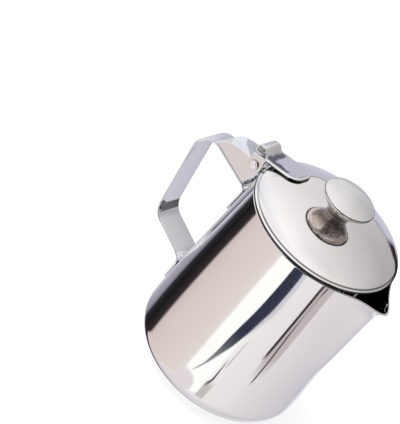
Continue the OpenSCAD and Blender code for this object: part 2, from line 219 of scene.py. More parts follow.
# A small box on the table with a dark, leaning lid and a grey mark above it
box = sums(studio, "MULTIPLY", window(studio, turn, 8.5, 19.0, 1.0), window(studio, rise, -46, -35.9, 0.5))
low = laid(box, low, 197, 189, 187)
lid_left = course(rise, [(-36.2, 8.5), (-35.3, 12.0), (-32.6, 11.6)])
lid_right = course(rise, [(-36.2, 12), (-35.3, 14.4), (-32.6, 12.2)])
box_lid = sums(studio, "MULTIPLY", window(studio, turn, lid_left, lid_right, 0.5),
               window(studio, rise, -36.3, -32.8, 0.3))
low = laid(box_lid, low, 62, 58, 55)
mark = sums(studio, "MULTIPLY", window(studio, turn, 15.2, 16.2, 0.6),
            window(studio, rise, -33.4, -30.8, 0.3))
low = laid(mark, low, 158, 154, 153)
low = laid(between(studio, rise, -58, -80), low, 211, 209, 214)

# Above the table: soft boxes high on the handle's side, grey towards the other side
level_tones = tones(turn, [
    (-180, 213, 210, 211), (-168, 225, 221, 221), (-152, 237, 234, 238), (-139, 228, 228, 234),
    (-134, 203, 201, 206), (-129, 240, 238, 240), (-118, 252, 250, 250), (-92, 254, 252, 251),
    (-30, 255, 255, 255), (-20, 240, 238, 238), (60, 190, 187, 188), (100, 176, 173, 175),
    (135, 173, 170, 172), (152, 175, 172, 174), (162, 180, 177, 178), (171, 192, 189, 190),
    (180, 213, 210, 211)])
high_tones = tones(turn, [
    (-180, 234, 230, 229), (-165, 246, 242, 241), (-150, 252, 250, 250), (-127, 238, 236, 237),
    (-100, 242, 240, 240), (-60, 253, 252, 251), (-20, 250, 248, 247), (10, 236, 232, 231),
    (60, 230, 226, 225), (90, 228, 225, 221), (110, 227, 223, 218), (127, 220, 216, 214),
    (150, 220, 216, 215), (168, 227, 223, 221), (180, 234, 230, 229)])
high = blend(studio, between(studio, rise, 28, 62), level_tones, high_tones)
high = laid(between(studio, rise, 66, 86), high, 248, 246, 245)
# Behind the jug the table's lavender sheet rises to a brown edge
sheet_left = course(turn, [(-180, 12.5), (-175, 13), (-168, 24), (-140, 27), (-130, -20)])
sheet_right = course(turn, [(128, -20), (150, 4), (161, 7), (170, 9), (180, 12.5)])
over_sheet = sums(studio, "SUBTRACT", rise, sums(studio, "MAXIMUM", sheet_left, sheet_right))
sheet_part = sums(studio, "MAXIMUM", between(studio, turn, -154, -165), between(studio, turn, 0, 10))
brown_edge = sums(studio, "MULTIPLY", window(studio, over_sheet, -0.2, 0.9, 0.4), sheet_part)
high = laid(brown_edge, high, 112, 104, 103)
lavender = ramp(between(studio, rise, -25, 22), [
    (0, light(204, 203, 222)), (0.45, light(198, 197, 214)),
    (0.75, light(189, 188, 199)), (1, light(190, 190, 203))])
sheet = sums(studio, "MULTIPLY", between(studio, over_sheet, 0.2, -0.2), sheet_part)
high = blend(studio, sheet, high, lavender)
dark_mark = sums(studio, "MULTIPLY", window(studio, turn, 157.5, 164, 1.2), window(studio, rise, -3, 10, 2.0))
high = laid(dark_mark, high, 48, 42, 34)
# The dark room behind the camera and past the spout: its top, its foot and how dark it is
ceiling = course(turn, [
    (-104, -12), (-98, 9), (-26, 11), (-17, 44), (0, 51), (60, 50), (76, 31), (100, 26), (115, 19),
    (126, 11), (140, 8), (150, 6), (154, 7), (158, 8), (162, 4), (164, -30)])
ground = course(turn, [(-104, -8), (-98, -7), (-40, -9), (-10, -12), (60, -13), (78, -26), (150, -26)])
depth = course(turn, [
    (-104, 0), (-98, 0.5), (-40, 0.62), (-12, 0.97), (14, 1), (32, 0.76), (44, 0.76), (58, 0.97),
    (68, 0.97), (92, 0.66), (116, 0.72), (140, 0.88), (150, 0.97), (158, 0.97), (162, 0)])
dark = sums(studio, "MULTIPLY", window(studio, rise, ground, ceiling, 1.6), depth)
room = blend(studio, between(studio, rise, -26, -14, soft=True), low, high)
room = laid(dark, room, 34, 31, 31)
path = put(studio, "ShaderNodeLightPath")
plain = put(studio, "ShaderNodeBackground", [("Color", (1, 1, 1, 1)), ("Strength", 1.0)])
lit = put(studio, "ShaderNodeBackground", [("Color", room), ("Strength", 1.0)])
pick = put(studio, "ShaderNodeMixShader",
           [(0, path.outputs["Is Camera Ray"]), (1, lit.outputs[0]), (2, plain.outputs[0])])
put(studio, "ShaderNodeOutputWorld", [("Surface", pick.outputs[0])])

# One large round lamp high on the handle's side, for the soft shadow on the table. The steel
# doesn't show it, because the studio's own soft boxes stand there.
lamp_spot = Vector((-0.55, -0.15, 1.1))
lamp_aim = Vector((0, 0, 0.05))
lamp_data = bpy.data.lights.new("soft_box", "AREA")
lamp_data.shape = "DISK"
lamp_data.size = 0.9
lamp_data.energy = 14
lamp = bpy.data.objects.new("soft_box", lamp_data)
lamp.location = lamp_spot
lamp.rotation_mode = "QUATERNION"
lamp.rotation_quaternion = (lamp_aim - lamp_spot).to_track_quat("-Z", "Y")
lamp.visible_glossy = False
scene.collection.objects.link(lamp)

# The camera looks down on the lid from the front left of the spout. It is rolled over, because
# the photographed jug is tilted, and it is moved aside until the jug stands as in the photograph.
view_way = math.radians(21)
view_down = math.radians(35.6)
roll = math.radians(38.65)
distance = 0.9
sideways = 0.0549
upwards = -0.0062
aim = Vector((0, 0, 0.096))
ahead = Vector((-math.sin(view_way) * math.cos(view_down), math.cos(view_way) * math.cos(view_down),
                -math.sin(view_down)))
level = Vector((math.cos(view_way), math.sin(view_way), 0))
upright = level.cross(ahead)
right = math.cos(roll) * level + math.sin(roll) * upright
top = -math.sin(roll) * level + math.cos(roll) * upright
camera_data = bpy.data.cameras.new("camera")
camera_data.lens = 176.757
camera_data.sensor_width = 36
camera_data.clip_start = 0.05
camera_data.clip_end = 40
camera = bpy.data.objects.new("camera", camera_data)
camera_spot = aim - distance * ahead - sideways * right - upwards * top
camera.matrix_world = Matrix.Translation(camera_spot) @ Matrix((right, top, -ahead)).transposed().to_4x4()
scene.collection.objects.link(camera)
scene.camera = camera

# The body: one cup drawn from 0.8 mm stainless steel and mirror polished. It has a flat base,
# a rounded corner, a wall that draws in towards the rim and a spout pressed out of its front.
# The rim is cut off square and its edge is rounded by the polishing.
body_h = 0.095
rim_r = 0.0365
belly_r = 0.0408
base_r = 0.030
corner_h = 0.0103
wall = 0.0008
spout_out = 0.0098
spout_h = 0.075
spout_w = 0.0132
lip_flare = 0.0034
flare_h = 0.007
lip_drop = 0.0042
lip_round = wall / 2
belly_share = 0.8
spout_share = 1.24
spout_foot_share = 0.5
lip_share = 0.47
spout_z = body_h - spout_h
half_angle = spout_w / 2 / rim_r


def wall_r(z):
    """Outer radius of the round wall at the height z."""
    if z < corner_h:
        return base_r + (belly_r - base_r) * math.sqrt(max(0, 1 - (1 - max(z, 0) / corner_h) ** 2))
    t = (body_h - z) / (body_h - corner_h)
    return rim_r + (belly_r - rim_r) * (t + belly_share * t * t * (1 - t))


def spout_push(z):
    """How far the ridge of the spout stands out past the wall at the height z."""
    s = max(z - spout_z, 0) / spout_h
    t = min(s / spout_foot_share, 1)
    curl = max(z - body_h + flare_h, 0) / flare_h
    return (spout_out - lip_flare) * s ** spout_share * t * t * (3 - 2 * t) + lip_flare * curl ** 2


def flank(angle):
    """Share of the spout's reach that is left at the angle from its ridge."""
    return 1 / math.cosh(math.acosh(2) * angle / half_angle)


def pushed_r(z, angle):
    """Radius of the wall at the angle from the ridge."""
    return wall_r(z) + spout_push(z) * flank(angle)


def lip_z(angle):
    """Height of the lip at the angle: it dips towards the tip of the spout."""
    return body_h - lip_drop * flank(angle) ** lip_share


def skin(name, rings, closed=False):
    """An object from rings of points. A ring of one point is a pole; closed joins last to first."""
    mesh = bpy.data.meshes.new(name)
    points, starts = [], []
    for ring in rings:
        starts.append(len(points))
        points.extend(ring)
    faces = []
    count = len(rings)
    for k in range(count if closed else count - 1):
        low_ring, high_ring = rings[k], rings[(k + 1) % count]
        a, b = starts[k], starts[(k + 1) % count]
        n = max(len(low_ring), len(high_ring))
        for i in range(n):
            j = (i + 1) % n
            if len(low_ring) == 1:
                faces.append((a, b + j, b + i))
            elif len(high_ring) == 1:
                faces.append((a + i, a + j, b))
            else:
                faces.append((a + i, a + j, b + j, b + i))
    mesh.from_pydata([tuple(p) for p in points], [], faces)
    mesh.validate()
    mesh.update()
    mesh.polygons.foreach_set("use_smooth", [True] * len(mesh.polygons))
    made = bpy.data.objects.new(name, mesh)
    scene.collection.objects.link(made)
    return made


body_lines = 320
line_crowding = math.radians(28)
base_steps = 6
corner_steps = 18
low_steps = 6
mouth_steps = 70
mouth_crowding = 1.3
lip_steps = 8


def line_angle(i):
    """Angle of the mesh's line i from the spout's ridge, where the lines lie closest."""
    even = 2 * math.pi * i / body_lines - math.pi
    return even - line_crowding * math.sin(even)


angles = [line_angle(i) for i in range(body_lines)]
spread = [(math.cos(a), math.sin(a)) for a in angles]


def round_ring(r, z):
    """A round ring of the body at the height z."""
    return [(r * c, r * s, z) for c, s in spread]


def mouth_ring(share, thin):
    """A ring of the wall from the foot of the spout, share 0, to just below the lip, share 1.
    It lies on the outside with thin 0 and on the inside with thin 1."""
    z = spout_z + spout_h * share
    points = []
    for a, (c, s) in zip(angles, spread):
        r = pushed_r(z, a) * (1 - thin * wall / wall_r(z))
        points.append((r * c, r * s, spout_z + (lip_z(a) - lip_round - spout_z) * share))
    return points


outside = [(base_r * k / base_steps, 0.0) for k in range(1, base_steps)]
outside += [(base_r + (belly_r - base_r) * math.sin(w), corner_h * (1 - math.cos(w)))
            for w in (math.pi / 2 * k / corner_steps for k in range(corner_steps + 1))]
outside += [(wall_r(z), z)
            for z in (corner_h + (spout_z - corner_h) * k / low_steps for k in range(1, low_steps))]
inside = []
for k, (r, z) in enumerate(outside):
    before, after = outside[max(k - 1, 0)], outside[min(k + 1, len(outside) - 1)]
    along = Vector((after[0] - before[0], after[1] - before[1])).normalized()
    inside.append((r - wall * along.y, z + wall * along.x))
shares = [1 - (1 - k / mouth_steps) ** mouth_crowding for k in range(mouth_steps + 1)]
rings = [[(0, 0, 0)]] + [round_ring(r, z) for r, z in outside]
rings += [mouth_ring(s, 0) for s in shares]
outer_lip, inner_lip = mouth_ring(1, 0), mouth_ring(1, 1)
for k in range(1, lip_steps):
    w = math.pi * k / lip_steps
    near, far = (1 + math.cos(w)) / 2, (1 - math.cos(w)) / 2
    rings.append([tuple(near * p + far * q + (lip_round * math.sin(w) if axis == 2 else 0)
                        for axis, (p, q) in enumerate(zip(a, b))) for a, b in zip(outer_lip, inner_lip)])
rings += [mouth_ring(s, 1) for s in reversed(shares)]
rings += [round_ring(r, z) for r, z in reversed(inside)] + [[(0, 0, wall)]]
body = skin("body", rings)


def group(name, inputs, outputs):
    """A node group with its sockets: (name, kind, default) for inputs, (name, kind) for outputs."""
    made = bpy.data.node_groups.new(name, "ShaderNodeTree")
    for title, kind, value in inputs:
        made.interface.new_socket(title, in_out="INPUT", socket_type=kind).default_value = value
    for title, kind in outputs:
        made.interface.new_socket(title, in_out="OUTPUT", socket_type=kind)
    source = made.nodes.new("NodeGroupInput")
    return made, source.outputs


# Pressed sheet is never quite even: long shallow waves run up the wall, and bend reflections
uneven, given = group("pressed_waves",
                      [("Size", "NodeSocketFloat", 60.0), ("Stretch", "NodeSocketFloat", 0.35)],
                      [("Height", "NodeSocketFloat")])
where = put(uneven, "ShaderNodeTexCoord").outputs["Object"]
squeeze = put(uneven, "ShaderNodeCombineXYZ", [(0, 1.0), (1, 1.0), (2, given["Stretch"])]).outputs[0]
where = put(uneven, "ShaderNodeVectorMath", [(0, where), (1, squeeze)], operation="MULTIPLY").outputs[0]
waves = put(uneven, "ShaderNodeTexNoise",
            [("Vector", where), ("Scale", given["Size"]), ("Detail", 1.5), ("Roughness", 0.4)])
put(uneven, "NodeGroupOutput", [("Height", waves.outputs["Fac"])])

# What use and polishing leave: faint smudges and hair scratches, as a roughness and a tint
worn, given = group("polish_wear",
                    [("Roughness", "NodeSocketFloat", 0.04), ("Smudges", "NodeSocketFloat", 0.03),
                     ("Hairs", "NodeSocketFloat", 0.02), ("Color", "NodeSocketColor", (0.8, 0.8, 0.8, 1))],
                    [("Roughness", "NodeSocketFloat"), ("Color", "NodeSocketColor")])
where = put(worn, "ShaderNodeTexCoord").outputs["Object"]
smudge = put(worn, "ShaderNodeTexNoise",
             [("Vector", where), ("Scale", 45.0), ("Detail", 5.0), ("Roughness", 0.6)])
patch = between(worn, smudge.outputs["Fac"], 0.5, 0.72, soft=True)
turned = put(worn, "ShaderNodeMapping",
             [("Vector", where), ("Rotation", (0.5, 0.9, 0.3)), ("Scale", (90, 90, 2600))])
hair = put(worn, "ShaderNodeTexNoise", [("Vector", turned.outputs[0]), ("Scale", 1.0), ("Detail", 2.0)])
hairs = between(worn, hair.outputs["Fac"], 0.62, 0.74)
rough = sums(worn, "ADD", given["Roughness"], sums(worn, "MULTIPLY", patch, given["Smudges"]))
rough = sums(worn, "ADD", rough, sums(worn, "MULTIPLY", hairs, given["Hairs"]))
tint = blend(worn, sums(worn, "MULTIPLY", patch, 0.06), given["Color"], (0.70, 0.69, 0.67, 1))
put(worn, "NodeGroupOutput", [("Roughness", rough), ("Color", tint)])


def steel(name, color, roughness, smudges, hairs, wave_size, wave_height, wave_stretch=1.0, metallic=1.0):
    """Polished stainless steel with its own waves and wear."""
    made = bare_material(name)
    tree = made.node_tree
    wear = put(tree, "ShaderNodeGroup",
               [("Roughness", roughness), ("Smudges", smudges), ("Hairs", hairs), ("Color", (*color, 1))],
               node_tree=worn)
    waves = put(tree, "ShaderNodeGroup", [("Size", wave_size), ("Stretch", wave_stretch)], node_tree=uneven)
    bump = put(tree, "ShaderNodeBump",
               [("Height", waves.outputs[0]), ("Strength", 1.0), ("Distance", wave_height)])
    metal = put(tree, "ShaderNodeBsdfPrincipled",
                [("Metallic", metallic), ("Base Color", wear.outputs["Color"]),
                 ("Roughness", wear.outputs["Roughness"]), ("Normal", bump.outputs[0])])
    put(tree, "ShaderNodeOutputMaterial", [("Surface", metal.outputs[0])])
    return made


mirror_body = steel("mirror_body", (0.88, 0.875, 0.87), roughness=0.03, smudges=0.03, hairs=0.02,
                    wave_size=70, wave_height=0.00006, wave_stretch=0.3)
body.data.materials.append(mirror_body)
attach(body, "jug")
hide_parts("body_shell")

# The handle: one strip of 0.9 mm steel, bent to a grip and welded to the wall by a tab at each
# end. Its upper arm is narrower and has a flange folded up along each side; the flanges'
# rounded ends hold the pin of the hinge.
strip_t = 0.0009
strip_edge = 0.0004
handle_w = 0.015
arm_w = 0.014
ledge = 0.0005
handle_out = 0.0347
corner_inset = 0.00006
arm_drop = 0.016
arm_rise = 0.0058
arm_narrow_share = 0.88
arm_wide_share = 0.97
foot_z = 0.0263
foot_drop = 0.0064
grip_lean = 0.0065
upper_tab_h = 0.014
lower_tab_h = 0.013
wall_bend_r = 0.0025
top_bend_r = 0.009
heel_bend_r = 0.008
foot_bend_r = 0.006
tab_clear = 0.001
seat_gap = 0.00005
lid_over = 0.0005
pin_back = 0.0042
pin_drop = 0.0028
flange_r = 0.0032
flange_share = 0.7
# The painted shade line along the fold: where it begins, ends and fades outside the flange
fold_near = 0.00006
fold_far = 0.00034
fold_soft = 0.00003
fold_fade = 0.0005
piece_l = 0.0015
arc_steps = 24
edge_steps = 5
same_point = 1e-7
pin_x = -(rim_r + lid_over + pin_back)
pin_z = body_h - pin_drop
arm_z = body_h - arm_drop
corner_x = corner_inset - rim_r - handle_out
corner_z = arm_z + arm_rise
heel_x = corner_x + grip_lean
heel_z = foot_z + foot_drop
below_arm = arm_z - upper_tab_h - tab_clear


def bent(points, radii, steps=20):
    """A line through the points, rounded at each inner one."""
    line = [Vector(points[0])]
    for a, b, c, r in zip(points, points[1:], points[2:], radii):
        a, b, c = Vector(a), Vector(b), Vector(c)
        u, v = (a - b).normalized(), (c - b).normalized()
        half_turn = math.acos(max(-1, min(1, u.dot(v)))) / 2
        centre = b + (u + v).normalized() * r / math.sin(half_turn)
        start = b + u * r / math.tan(half_turn) - centre
        sweep = (-1 if u.x * v.y - u.y * v.x > 0 else 1) * (math.pi - 2 * half_turn)
        for i in range(steps + 1):
            w = sweep * i / steps
            line.append(centre + Vector((start.x * math.cos(w) - start.y * math.sin(w),
                                         start.x * math.sin(w) + start.y * math.cos(w))))
    return line + [Vector(points[-1])]


def beside(line, d):
    """The line moved sideways by d, to the left of its direction."""
    moved = []
    for i, p in enumerate(line):
        t = (line[min(i + 1, len(line) - 1)] - line[max(i - 1, 0)]).normalized()
        moved.append(p + d * Vector((-t.y, t.x)))
    return moved


def arc(centre, r, start, end):
    """Points round a centre, from one angle to another, in degrees."""
    return [Vector(centre) + r * Vector((math.cos(w), math.sin(w)))
            for w in (math.radians(start + (end - start) * i / arc_steps) for i in range(arc_steps + 1))]


def cut_sheet(outline, thick, edge, crown=None):
    """Rings of (u, v, w) for a sheet cut to an outline, its edges rounded by polishing.
    crown is the width and depth of a wider rounding on the upper side."""
    wide, deep = crown or (edge, edge)
    tidy = [p for i, p in enumerate(outline) if (p - outline[i - 1]).length > same_point]
    area = sum(p.x * q.y - q.x * p.y for p, q in zip(tidy, tidy[1:] + tidy[:1]))
    if area < 0:
        tidy.reverse()
    inward = []
    for i, p in enumerate(tidy):
        a, b = (p - tidy[i - 1]).normalized(), (tidy[(i + 1) % len(tidy)] - p).normalized()
        n = Vector((-a.y - b.y, a.x + b.x)).normalized()
        inward.append(n / max(0.5, n.dot(Vector((-a.y, a.x)))))
    turns = [math.pi / 2 * k / edge_steps for k in range(edge_steps + 1)]
    levels = [(edge * (1 - math.sin(w)), -thick / 2 + edge * (1 - math.cos(w))) for w in turns]
    levels += [(wide * (1 - math.sin(w)), thick / 2 - deep * (1 - math.cos(w))) for w in reversed(turns)]
    return [[(*(p + n * drawn_in), height) for p, n in zip(tidy, inward)] for drawn_in, height in levels]


def sheets(name, parts):
    """One object from several sheets: (rings, place), where place maps (u, v, w) to a point."""
    points, faces = [], []
    for rings, place in parts:
        first, n = len(points), len(rings[0])
        for ring in rings:
            points.extend(place(*p) for p in ring)
        for k in range(len(rings) - 1):
            a = first + k * n
            faces.extend((a + i, a + (i + 1) % n, a + n + (i + 1) % n, a + n + i) for i in range(n))
        faces.append(tuple(reversed(range(first, first + n))))
        faces.append(tuple(range(first + (len(rings) - 1) * n, first + len(rings) * n)))
    mesh = bpy.data.meshes.new(name)
    mesh.from_pydata([tuple(p) for p in points], [], faces)
    work = bmesh.new()
    work.from_mesh(mesh)
    bmesh.ops.recalc_face_normals(work, faces=work.faces)
    work.to_mesh(mesh)
    work.free()
    mesh.polygons.foreach_set("use_smooth", [True] * len(mesh.polygons))
    made = bpy.data.objects.new(name, mesh)
    scene.collection.objects.link(made)
    return made


def strip_place(x, z, w):
    """Stands the strip up in the plane of the handle and draws its upper arm in."""
    narrow, wide = -arm_narrow_share * corner_x, -arm_wide_share * corner_x
    t = min(max((-x - narrow) / (wide - narrow), 0), 1)
    width = arm_w + (handle_w - arm_w) * t * t * (3 - 2 * t)
    share = (width if z > below_arm else handle_w) / handle_w
    return (x, w * share, z)


off = seat_gap + strip_t / 2
handle_line = bent([
    (-wall_r(arm_z - upper_tab_h) - off, arm_z - upper_tab_h), (-wall_r(arm_z) - off, arm_z),
    (corner_x, corner_z), (heel_x, heel_z), (-wall_r(foot_z) - off, foot_z),
    (-wall_r(foot_z - lower_tab_h) - off, foot_z - lower_tab_h)],
    [wall_bend_r, top_bend_r, heel_bend_r, foot_bend_r])
fine_line = []
for p, q in zip(handle_line, handle_line[1:]):
    pieces = max(1, int((q - p).length / piece_l))
    fine_line.extend(p.lerp(q, k / pieces) for k in range(pieces))
fine_line.append(handle_line[-1])
inner_line = beside(fine_line, strip_t / 2)
strip = inner_line + list(reversed(beside(fine_line, -strip_t / 2)))
start_x = pin_x + flange_share * (corner_x - pin_x)
root_x = -wall_r(arm_z) - strip_t
under = [p for p in inner_line if p.y > arm_z - strip_t and start_x < p.x < root_x - wall_bend_r]
top_x = pin_x - flange_r
foot = under[-1]
arch = [Vector((top_x + (foot.x - top_x) * math.cos(w), foot.y + (pin_z - foot.y) * math.sin(w)))
        for w in (math.pi / 2 * i / arc_steps for i in range(arc_steps + 1))]
front = Vector((pin_x + flange_r, pin_z + 0.5 * (arm_z - pin_z) + strip_t))
flange = under + arch + arc((pin_x, pin_z), flange_r, 180, 0) + [front]
flange_out = arm_w / 2 - ledge
flange_y = flange_out - strip_t / 2
handle = sheets("handle", [
    (cut_sheet(strip, handle_w, strip_edge), strip_place),
    (cut_sheet(flange, strip_t, strip_edge), lambda x, z, w: (x, flange_y + w, z)),
    (cut_sheet(flange, strip_t, strip_edge), lambda x, z, w: (x, -flange_y + w, z))])


def places(tree):
    """The x, y and z of each point of the piece, in metres."""
    point = put(tree, "ShaderNodeTexCoord").outputs["Object"]
    return put(tree, "ShaderNodeSeparateXYZ", [(0, point)]).outputs


def stain(made, mask, color):
    """Lays another colour over a steel where the mask, made in the steel's own tree, is 1."""
    metal = next(n for n in made.node_tree.nodes if n.type == "BSDF_PRINCIPLED")
    clean = metal.inputs["Base Color"].links[0].from_socket
    made.node_tree.links.new(blend(made.node_tree, mask, clean, (*color, 1)), metal.inputs["Base Color"])


strip_steel = steel("polished_strip", (0.83, 0.853, 0.885), roughness=0.05, smudges=0.04, hairs=0.04,
                    wave_size=160, wave_height=0.00002)
# Painted shade: a thin dark line on the strip along the foot of each flange stands in for the shade in the
# fold's crease
tree = strip_steel.node_tree
place = places(tree)
painted_fold_shade = window(tree, sums(tree, "ABSOLUTE", place[1]),
                   flange_out + fold_near, flange_out + fold_far, fold_soft)
painted_fold_shade = sums(tree, "MULTIPLY", painted_fold_shade, between(tree, place[2], below_arm, below_arm + fold_fade))
stain(strip_steel, sums(tree, "MULTIPLY", painted_fold_shade, 0.85), (0.04, 0.035, 0.04))
handle.data.materials.append(strip_steel)
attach(handle, "jug")
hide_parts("handle")

# The pin of the hinge: a rivet of steel pushed through the flanges and the ears, its ends
# headed over to low buttons, each with a fine step round its crown.
pin_r = 0.0015
head_r = 0.0024
head_h = 0.0011
button_share = 0.70
step_share = 0.72
crown_rise = 0.00012
step_w = 0.0001
step_fall = 0.00005
step_round = 0.00004
edge_r = 0.0002
under_round = 0.00008
under_share = 0.4
crown_steps = 8
# The painted shade in the seam round the button and on the edge of the head: how far they reach
seam_in = 0.00004
seam_out = 0.00012
seam_soft = 0.00005
shade_in = 0.00025
shade_out = 0.0001
leaf_t = 0.0009
ear_gap = 0.0002
ear_in = flange_out + ear_gap
ear_out = ear_in + leaf_t


def lathe(name, profile, steps, turn_place=None, closed=False):
    """A turned object from (r, z) points; a point with r of 0 is a pole."""
    way = turn_place or (lambda x, y, z: (x, y, z))
    circle = [(math.cos(2 * math.pi * i / steps), math.sin(2 * math.pi * i / steps)) for i in range(steps)]
    rings = [[way(0, 0, z)] if r == 0 else [way(r * c, r * s, z) for c, s in circle] for r, z in profile]
    return skin(name, rings, closed)


def fillet(corner, before, after, r):
    """The points of a rounded corner of a turned profile."""
    return [tuple(p) for p in bent([before, corner, after], [r], edge_steps)[1:-1]]


side = ear_out + seat_gap
tip = side + head_h
button = button_share * head_r
step = side + step_share * head_h
step_foot = (button + step_w, step)
head_edge = (head_r, step - step_fall)
head = [(button * s, tip - (tip - step - crown_rise) * s ** 2)
        for s in (i / crown_steps for i in range(crown_steps + 1))]
head += fillet(step_foot, (button, step + crown_rise), head_edge, step_round)
head += fillet(head_edge, step_foot, (head_r, side), edge_r)
head += fillet((head_r, side), (head_r, side + under_share * head_h), (pin_r, side), under_round)
profile = head + [(pin_r, side), (pin_r, 0)]
profile += [(r, -z) for r, z in reversed(profile[:-1])]
pin = lathe("hinge_rivet", list(reversed(profile)), steps=64,
            turn_place=lambda x, y, z: (pin_x + x, z, pin_z - y))
rivet_steel = steel("rivet_steel", (0.97, 0.965, 0.97), roughness=0.3, smudges=0.05, hairs=0.05,
                    wave_size=300, wave_height=0.00001)
# Painted shade: the fine seam round the button and the rounded edge of the head are darkened, standing in for
# the shade and dark reflections there
tree = rivet_steel.node_tree
turned = put(tree, "ShaderNodeMapping", [("Location", (-pin_x, 0, -pin_z))])
tree.links.new(put(tree, "ShaderNodeTexCoord").outputs["Object"], turned.inputs["Vector"])
flat = put(tree, "ShaderNodeVectorMath", [(0, turned.outputs[0]), (1, (1, 0, 1))],
           operation="MULTIPLY").outputs[0]
from_pin = put(tree, "ShaderNodeVectorMath", [(0, flat)], operation="LENGTH").outputs["Value"]
painted_seam_shade = window(tree, from_pin, button - seam_in, button + seam_out, seam_soft)
painted_seam_shade = sums(tree, "MULTIPLY", painted_seam_shade, 0.35)
painted_rim_shade = between(tree, from_pin, head_r - shade_in, head_r - shade_out, 0, 0.7)
stain(rivet_steel, sums(tree, "MAXIMUM", painted_seam_shade, painted_rim_shade), (0.10, 0.09, 0.09))
pin.data.materials.append(rivet_steel)
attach(pin, "jug")
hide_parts("hinge_pin")

# The lid: a shallow dome pressed from 0.8 mm sheet and mirror polished, its edge turned down.
# A hole in its middle takes the screw of the knob.
lid_gap = 0.0003
lid_t = 0.0008
edge_h = 0.0007
edge_short = 0.00025
edge_round = 0.00038
dome_h = 0.008
dome_share = 0.7
dome_steps = 80
screw_r = 0.00195
hole_gap = 0.0003
hole_land = 0.0003
inner_end = 0.0002
# The painted shade bands round the edge: where they begin, end and fade
edge_shade_under = 0.0002
edge_shade_h = 0.00045
edge_shade_soft = 0.00008
line_low = 0.00098
line_high = 0.00138
line_soft = 0.0001
line_dim_x = -0.026
line_full_x = -0.012
lid_r = rim_r + lid_over
edge_z = body_h + lid_gap + edge_h
low_edge = edge_z - edge_h + edge_short
dome_top = edge_z + dome_h
hole = screw_r + hole_gap


def dome_z(r):
    """Height of the dome at the radius r."""
    return edge_z + dome_h * max(0, 1 - (r / lid_r) ** 2) ** dome_share


def dome_fall(r):
    """Slope of the dome at the radius r."""
    x = r / lid_r
    return 2 * dome_share * dome_h / lid_r * x * (1 - x * x) ** (dome_share - 1)


dome = [(lid_r * math.sin(w), dome_z(lid_r * math.sin(w)))
        for w in (math.pi / 2 * i / dome_steps for i in range(dome_steps + 1))]
outer_face = [(hole, dome_z(hole))] + [p for p in dome if p[0] > hole + hole_land]
inner_face = []
for k, (r, z) in enumerate(outer_face):
    before, after = outer_face[max(k - 1, 0)], outer_face[min(k + 1, len(outer_face) - 1)]
    along = Vector((after[0] - before[0], after[1] - before[1])).normalized()
    inner_face.append((max(hole, r + lid_t * along.y), z - lid_t * along.x))
inner_face = [p for p in inner_face if p[0] < lid_r - lid_t - inner_end]
edge_face = fillet((lid_r, low_edge), (lid_r, edge_z), (lid_r - lid_t, low_edge), edge_round)
edge_face += fillet((lid_r - lid_t, low_edge), (lid_r, low_edge), (lid_r - lid_t, edge_z), edge_round)
profile = outer_face + edge_face + [(lid_r - lid_t, edge_z)] + list(reversed(inner_face))
lid = lathe("lid", list(reversed(profile)), steps=256, closed=True)
mirror_lid = steel("mirror_lid", (0.88, 0.87, 0.87), roughness=0.035, smudges=0.03, hairs=0.02,
                   wave_size=55, wave_height=0.00002)
# Painted shade: the turned-down edge and the foot of the dome are darkened for the shadow gap over the rim,
# and a faint dark line painted where the dome meets its edge stands in for a dark reflection
tree = mirror_lid.node_tree
place = places(tree)
painted_edge_shade = window(tree, place[2], low_edge - edge_shade_under, edge_z + edge_shade_h, edge_shade_soft)
painted_edge_shade = sums(tree, "MULTIPLY", painted_edge_shade, 0.98)
painted_line_shade = sums(tree, "MULTIPLY", window(tree, place[2], edge_z + line_low, edge_z + line_high, line_soft),
             between(tree, place[0], line_dim_x, line_full_x, 0.4, 0.85))
stain(mirror_lid, sums(tree, "MAXIMUM", painted_edge_shade, painted_line_shade), (0.03, 0.03, 0.035))
lid.data.materials.append(mirror_lid)
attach(lid, "lid")
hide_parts("lid_shell")

# The leaf of the hinge: one stamping of 0.9 mm steel, welded on the dome. Its nose lies on
# the lid, two ears hang down outside the flanges and turn on the pin, and its tail is rolled
# up and over to a loop for the thumb.
ear_w = 0.007
ear_top_share = 0.9
ear_proud = 0.0001
leaf_reach = 0.016
leaf_touch = 0.010
nose_r = 0.0055
plate_more = 0.0003
plate_t = leaf_t + plate_more
plate_edge = 0.00005
plate_crown = (0.0010, 0.00060)
stamped_edge = 0.0003
thumb_w = 0.0108
thumb_h = 0.0039
thumb_l = 0.0076
thumb_bend_r = 0.0016
slope_run = 0.0029
slope_top_r = 0.0019
slope_foot_r = 0.0020
slope_foot = 0.0003
toe_end = 0.0019
toe_share = 0.4
roll_lap = 0.001
roll_steps = 16
# The painted shade at the foot of the loop and on the edge and underside: where they begin, end and fade on
# the leaf
shade_near_y = -0.0063
shade_far_y = 0.0054
shade_from = 0.0001
shade_to = 0.0030
side_from = 0.0019
side_to = 0.0002
side_in_y = -0.0040
shade_soft = 0.0005
side_soft = 0.0006
shade_low = -0.0012
shade_high = 0.0001
shade_stray = 0.003
shade_top = 0.00050
shade_top_end = 0.00062
shade_foot = -0.0001
shade_foot_end = -0.0003
shade_fade = 0.0004
leaf_r = lid_r - leaf_touch
leaf_a = math.atan(dome_fall(leaf_r))
seat_x = -leaf_r
seat_z = dome_z(leaf_r) + seat_gap
leaf_side = ear_out - ear_proud


def leaf_s(x):
    """Distance back along the leaf from its seat to the distance x from the lid's axis."""
    return (x - leaf_r) / math.cos(leaf_a)


def on_leaf(s, y, n):
    """A place on the leaf: s towards the lid's middle, y across, n above its underside."""
    return (seat_x + s * math.cos(leaf_a) - n * math.sin(leaf_a), y,
            seat_z + s * math.sin(leaf_a) + n * math.cos(leaf_a))


def leaf_xz(s, n):
    """The x and z of a place on the leaf, with s towards the handle."""
    x, _, z = on_leaf(-s, 0, n)
    return Vector((x, z))


